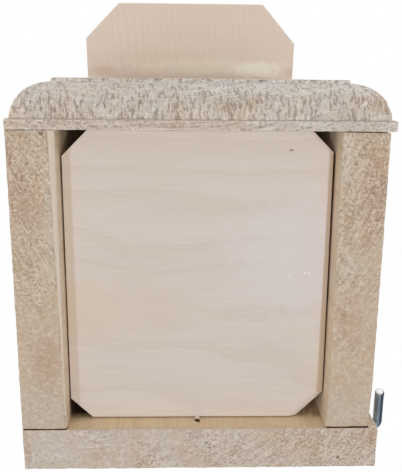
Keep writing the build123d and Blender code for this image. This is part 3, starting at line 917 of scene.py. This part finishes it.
# Finishes
pine = (colour(240, 221, 197), colour(226, 202, 170), colour(234, 214, 185))
planed = (colour(215, 205, 196), colour(207, 193, 180), colour(212, 199, 188))
roof_tones = (colour(200, 184, 172), colour(184, 162, 142), colour(198, 185, 174))
back_pine = (colour(246, 222, 187), colour(232, 202, 159), colour(242, 216, 180))
front_pine = (colour(222, 206, 185), colour(206, 182, 155), colour(216, 200, 180))
side_ends = (colour(205, 186, 164), colour(201, 177, 152), colour(202, 187, 165))
back_ends = (colour(207, 194, 181), colour(203, 183, 165), colour(206, 196, 185))
routed_ends = (colour(221, 211, 200), colour(217, 199, 183), colour(220, 214, 206))
reddish, tan, greyish = colour(188, 155, 133), colour(198, 173, 147), colour(199, 186, 171)
chalk, lilac = colour(208, 202, 193), colour(217, 209, 208)
dark_speck, bright_speck = colour(96, 77, 61), colour(250, 243, 236)
fleck_pale, fleck_dark = colour(232, 217, 201), colour(146, 116, 94)
gap_brown, tuft_cream = colour(156, 130, 108), colour(243, 234, 224)
tan_tone_and_painted_shade, painted_shade_brown = colour(200, 170, 134), colour(84, 61, 45)
splinter_pale, splinter_bright = colour(216, 203, 188), colour(254, 239, 217)

left_spots = [
    ((-66, -108), (3.5, 12), reddish, 0.5), ((-59, -46), (6, 11), reddish, 0.45),
    ((-60, -104), (5, 7), reddish, 0.4), ((-62, -24), (12, 14), greyish, 0.6),
    ((-68.5, -124), (1.2, 5), reddish, 0.7), ((-55.5, -100), (2.5, 22), chalk, 0.3),
    ((-57.2, -131.8), (0.9, 0.7), dark_speck, 0.8), ((-65.1, -104.6), (0.6, 0.5), dark_speck, 0.6),
]
door_spots = [
    ((61.5, -111), (4.5, 21), reddish, 0.5), ((56, -62), (6, 10), reddish, 0.35),
    ((62, -20), (4, 4), reddish, 0.4), ((57, -27), (10, 12), greyish, 0.5),
    ((55, -86), (6, 8), chalk, 0.25), ((51, -124), (2.5, 9), chalk, 0.45),
]
back_spots = [
    ((67.6, -12), (1.6, 5), reddish, 0.7), ((-68.4, -9), (1.5, 9), reddish, 0.35),
    ((54.5, -4.4), (0.8, 0.7), dark_speck, 0.85),
    ((1.8, -11.2), (0.6, 0.5), dark_speck, 0.7), ((3.2, -8.9), (0.6, 0.5), dark_speck, 0.6),
    ((-55, -9), (16, 6), chalk, 0.15), ((44, -10), (26, 9), tan, 0.4),
]
front_spots = [
    ((-10, -135), (75, 1.7), colour(188, 168, 154), 0.45),
    # The near-white ovals at -149.5 on the next two lines lie high on the routed band by the outer face:
    # partly its paler torn fibres, partly a painted highlight where the band turns to the front.
    ((47, -135), (34, 3), chalk, 0.75), ((30, -149.5), (46, 5), colour(243, 237, 230), 0.9),
    ((-38, -149.5), (30, 5), colour(242, 232, 220), 0.85), ((14, -142), (12, 3.5), tan, 0.3),
    ((8.5, -141), (1.6, 1.6), reddish, 0.7), ((62, -142), (3.5, 4), tan, 0.6),
    ((46.6, -133.2), (0.35, 0.5), dark_speck, 0.8),
]
floor_spots = [
    # Painted light: the narrow warm oval along the left edge lifts the shadow that the fixed side casts
    # there. The lilac oval on the right is partly a cooler tone and partly painted sheen.
    ((-50, -64), (44, 13), colour(212, 192, 166), 0.35), ((40, -84), (30, 26), lilac, 0.8),
    ((-50.6, -82), (2.2, 62), colour(224, 201, 174), 0.4),
    ((32.6, -125.5), (0.9, 0.5), dark_speck, 0.6), ((39.7, -78.4), (0.45, 0.35), bright_speck, 0.9),
    ((41.3, -78.2), (0.35, 0.35), bright_speck, 0.9), ((33.9, -77.0), (0.6, 0.25), bright_speck, 0.6),
]
# Painted light and shade on the underside beside the front board: reddish painted shadows in its two
# corners, a faint darker tan band, and two pale ovals of painted bounce light.
roof_shadows_and_glow = [
    ((-61, -155.5), (8, 3.5), reddish, 0.5), ((-20, -163), (34, 7), tan, 0.12),
    ((10, -159), (60, 5), colour(208, 200, 185), 0.6), ((44, -157), (18, 5), colour(214, 210, 201), 0.6),
    ((65, -155.5), (3.5, 3.5), reddish, 0.5),
]

finishes = {
    "back": wood(
        "back board pine", "Z", (20, 60), back_pine, back_ends, (-60, -110), 0.35, 0.15, back_spots,
        rougher=(0.003, 0.0, 0.02),
    ),
    "left": wood("fixed side pine", "Z", (-140, -60), pine, side_ends, (-190, -30), spots=left_spots),
    "door": wood("swinging side pine", "Z", (130, -90), pine, side_ends, (-61, -150), spots=door_spots),
    "front": wood(
        "front board pine", "Z", (-20, -60), front_pine, routed_ends, (-30, -400),
        spots=front_spots, torn=True,
    ),
    "floor": wood(
        "floor planed pine", "X", (-60, 140), planed, planed, (0, 0), ring_contrast=0.42, spots=floor_spots
    ),
    "roof": wood(
        "roof planed pine", "Y", (-200, 330), roof_tones, side_ends, (0, 0), ring_contrast=0.12,
        spots=roof_shadows_and_glow, rougher=(0.0, 0.0, -0.1), fresher=0.25,
    ),
}

back_board(finishes["back"])
side_board(
    "fixed_side_wood", left_low, left_high, "box", finishes["left"], 51,
    [(y, floor_middle_height) for y in floor_nail_along], strip=(2.5, 0.3), back_gap=0.15,
)
side_board(
    "swing_side_wood", door_low, door_high, "door", finishes["door"], 61, [],
    back_gap=-0.25, skew=((0.4, 0.5), (0.85, 0.55)),
)
front_board(finishes["front"])
floor_panel(finishes["floor"])
roof_board(finishes["roof"])

hook_end = (back_high[0] + hook_leg_offset, (back_low[1] + back_high[1]) / 2 - hook_leg_reach, hook_height)
hook_finish = metal(
    "hook plating", colour(146, 163, 180), colour(54, 66, 80), 0.35,
    cut=(hook_end, hook_radius - 0.42, colour(246, 249, 252)),
)
screw_hook(hook_finish)
nail_finish = metal("nail steel", colour(150, 150, 148), colour(120, 116, 110), 0.4)
for name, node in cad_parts.items():
    if "nail" in name:
        node.data.materials.clear()
        node.data.materials.append(nail_finish)


# Camera: its place, its turns about X, Y and Z from looking straight up, and its focal length in
# pixels of the photograph, whose height it takes 472 of
camera_at = np.array([-7.88, -151.09, -231.36])
camera_turns = (0.23716, -0.0294, 0.0016)
focal_pixels = 653.8
image_height = 472


def turned(axis, angle):
    """The matrix of a turn about an axis."""
    return np.array(Matrix.Rotation(angle, 3, axis))


view = turned("Z", camera_turns[2]) @ turned("Y", camera_turns[1]) @ turned("X", camera_turns[0])
camera_data = bpy.data.cameras.new("camera")
camera_data.sensor_width = 36
camera_data.lens = focal_pixels * camera_data.sensor_width / image_height
camera_data.clip_start = 0.01
camera = bpy.data.objects.new("camera", camera_data)
columns = np.stack([view[0], -view[1], -view[2]], axis=1)
placed = np.eye(4)
placed[:3, :3] = columns
placed[:3, 3] = camera_at * MM
camera.matrix_world = Matrix(placed.tolist())
bpy.context.scene.collection.objects.link(camera)
bpy.context.scene.camera = camera


# Light and floor

def lamp(name, place, target, size, power, tint=(1, 1, 1)):
    """A round lamp of a size across, at a place in millimetres, that shines at a target."""
    data = bpy.data.lights.new(name, "AREA")
    data.shape = "DISK"
    data.size = size * MM
    data.energy = power
    data.color = tint
    light = bpy.data.objects.new(name, data)
    direction = Vector(target) - Vector(place)
    light.rotation_euler = direction.to_track_quat("-Z", "Y").to_euler()
    light.location = Vector(place) * MM
    light.visible_camera = False
    bpy.context.scene.collection.objects.link(light)


lamp("key_lamp", (-345, -175, -620), (0, -75, 10), 70, 0.84, (1.0, 0.99, 1.0))
lamp("side_lamp", (230, -120, -620), (0, -75, 10), 60, 0.78, (1.0, 0.98, 0.97))
lamp("low_lamp", (0, -160, -2400), (0, -75, 10), 900, 12.0, (1.0, 0.97, 0.94))
lamp("high_left_lamp", (-900, -900, 1300), (0, -75, 120), 700, 15.0)
lamp("high_right_lamp", (1000, -300, 1100), (0, -75, 120), 700, 8.0)
lamp("back_lamp", (200, 1200, 900), (0, -75, 120), 700, 8.0)

world = bpy.data.worlds.new("world")
bpy.context.scene.world = world
sky = Tree(world)
rays = sky.add("LightPath")
ray_kinds = rays.socket.node.outputs
seen = sky.math(
    "MAXIMUM",
    Wire(sky, ray_kinds["Is Camera Ray"]),
    sky.math(
        "MAXIMUM", Wire(sky, ray_kinds["Is Glossy Ray"]), Wire(sky, ray_kinds["Is Transmission Ray"])
    ),
)
ambient_light = 0.40
sky_strength = seen * (1 - ambient_light) + ambient_light
background = sky.add("Background", None, {"Color": (1, 1, 1, 1), "Strength": sky_strength})
sky.add("OutputWorld", None, {"Surface": background})


def floor_finish():
    """A pale floor that shows only from above, fades to white away from the object, and lets the light
    from below through to the object that stands on it."""
    material = bpy.data.materials.new("pale floor")
    tree = Tree(material)
    place = tree.add("TexCoord", out=3)
    distance = tree.add("VectorMath", {"operation": "LENGTH"}, {0: place}, out=1)
    far = tree.step(distance, 0.35, 1.3)
    paint = tree.add("BsdfDiffuse", None, {"Color": (0.82, 0.82, 0.81, 1)})
    white = tree.add("Emission", None, {"Color": (1, 1, 1, 1), "Strength": 1.0})
    shown = tree.add("MixShader", None, {0: far, 1: paint, 2: white})
    clear = tree.add("BsdfTransparent")
    rays = tree.add("LightPath").socket.node.outputs
    backfacing = tree.add("NewGeometry").socket.node.outputs["Backfacing"]
    hidden = tree.math("MAXIMUM", Wire(tree, rays["Is Shadow Ray"]), Wire(tree, backfacing))
    under = tree.step(distance, 0.3, 0.12)
    hidden = tree.math("MAXIMUM", hidden, under * Wire(tree, rays["Is Diffuse Ray"]))
    surface = tree.add("MixShader", None, {0: hidden, 1: shown, 2: clear})
    tree.add("OutputMaterial", None, {"Surface": surface})
    return material


floor_reach = 3000.0
corners = floor_reach * np.array([[-1, -1, 0], [1, -1, 0], [1, 1, 0], [-1, 1, 0]], float)
floor_mesh = bpy.data.meshes.new("studio_floor")
floor_mesh.from_pydata((corners * MM - np.array([0, 0, 0.0002])).tolist(), [], [[0, 1, 2, 3]])
floor_mesh.materials.append(floor_finish())
studio_floor = bpy.data.objects.new("studio_floor", floor_mesh)
bpy.context.scene.collection.objects.link(studio_floor)

bpy.context.scene.view_settings.view_transform = "Standard"
